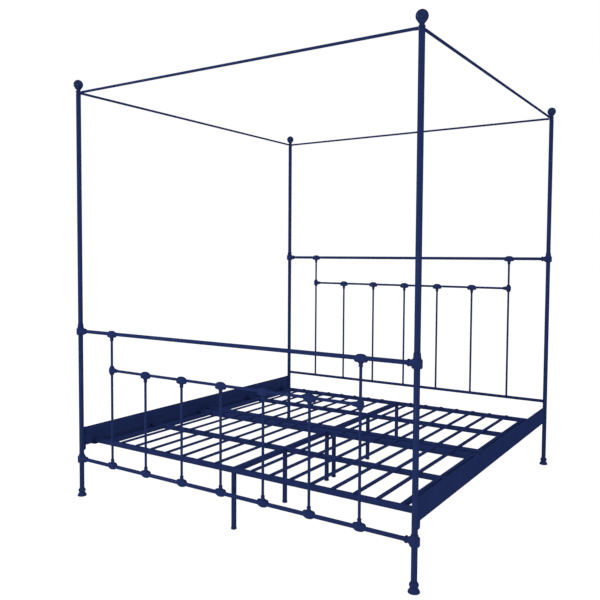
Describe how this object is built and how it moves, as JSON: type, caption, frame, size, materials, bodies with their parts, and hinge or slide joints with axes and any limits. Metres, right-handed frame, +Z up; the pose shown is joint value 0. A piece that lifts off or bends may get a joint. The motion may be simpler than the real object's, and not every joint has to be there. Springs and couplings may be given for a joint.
{
  "type": "four poster canopy bed",
  "caption": "Metal king bed with slender posts, a rod canopy, ball finials, spindle headboard and footboard, side rails and a slatted base with centre legs.",
  "frame": {"origin": "on the floor under the middle of the bed, half way between the four posts", "axes": "+X to the right of someone who stands at the foot and looks at the headboard, +Y from the foot to the head, +Z up"},
  "size_m": [2.0092, 2.1092, 2.26],
  "materials": {
    "powder_coat": "satin navy powder coat"
  },
  "bodies": {
    "bed_frame": {"canopy_post_foot_left": "powder_coat", "canopy_post_foot_right": "powder_coat", "canopy_post_head_left": "powder_coat", "canopy_post_head_right": "powder_coat", "canopy_rod_foot": "powder_coat", "canopy_rod_head": "powder_coat", "canopy_rod_left": "powder_coat", "canopy_rod_right": "powder_coat", "footboard_bottom_rail": "powder_coat", "footboard_knuckle_left": "powder_coat", "footboard_knuckle_right": "powder_coat", "footboard_low_knuckle_left": "powder_coat", "footboard_low_knuckle_right": "powder_coat", "footboard_middle_rail": "powder_coat", "footboard_spindle_1": "powder_coat", "footboard_spindle_2": "powder_coat", "footboard_spindle_3": "powder_coat", "footboard_spindle_4": "powder_coat", "footboard_spindle_5": "powder_coat", "footboard_stile_left": "powder_coat", "footboard_stile_right": "powder_coat", "footboard_top_rail": "powder_coat", "headboard_knuckle_left": "powder_coat", "headboard_knuckle_right": "powder_coat", "headboard_low_rail": "powder_coat", "headboard_middle_rail": "powder_coat", "headboard_spindle_1": "powder_coat", "headboard_spindle_2": "powder_coat", "headboard_spindle_3": "powder_coat", "headboard_spindle_4": "powder_coat", "headboard_spindle_5": "powder_coat", "headboard_stile_left": "powder_coat", "headboard_stile_right": "powder_coat", "headboard_top_rail": "powder_coat", "lower_post_foot_left": "powder_coat", "lower_post_foot_right": "powder_coat", "lower_post_head_left": "powder_coat", "lower_post_head_right": "powder_coat", "post_bracket_foot_left": "powder_coat", "post_bracket_foot_right": "powder_coat", "post_bracket_head_left": "powder_coat", "post_bracket_head_right": "powder_coat", "post_shoe_foot_left": "powder_coat", "post_shoe_foot_right": "powder_coat", "post_shoe_head_left": "powder_coat", "post_shoe_head_right": "powder_coat", "side_rail_left": "powder_coat", "side_rail_right": "powder_coat", "slat_section_foot": "powder_coat", "slat_section_head": "powder_coat", "support_leg_1": "powder_coat", "support_leg_2": "powder_coat", "support_leg_3": "powder_coat", "support_leg_4": "powder_coat", "support_leg_5": "powder_coat", "support_leg_6": "powder_coat"},
    "finial_foot_left": {"finial_foot_left": "powder_coat"},
    "finial_foot_right": {"finial_foot_right": "powder_coat"},
    "finial_head_left": {"finial_head_left": "powder_coat"},
    "finial_head_right": {"finial_head_right": "powder_coat"}
  },
  "joints": [
    {"name": "unscrew_finial_foot_left", "type": "hinge", "parent": "bed_frame", "child": "finial_foot_left", "pos_m": [-0.98, -1.03, 2.192], "axis": [0, 0, 1], "continuous": true},
    {"name": "unscrew_finial_foot_right", "type": "hinge", "parent": "bed_frame", "child": "finial_foot_right", "pos_m": [0.98, -1.03, 2.192], "axis": [0, 0, 1], "continuous": true},
    {"name": "unscrew_finial_head_left", "type": "hinge", "parent": "bed_frame", "child": "finial_head_left", "pos_m": [-0.98, 1.03, 2.192], "axis": [0, 0, 1], "continuous": true},
    {"name": "unscrew_finial_head_right", "type": "hinge", "parent": "bed_frame", "child": "finial_head_right", "pos_m": [0.98, 1.03, 2.192], "axis": [0, 0, 1], "continuous": true}
  ]
}
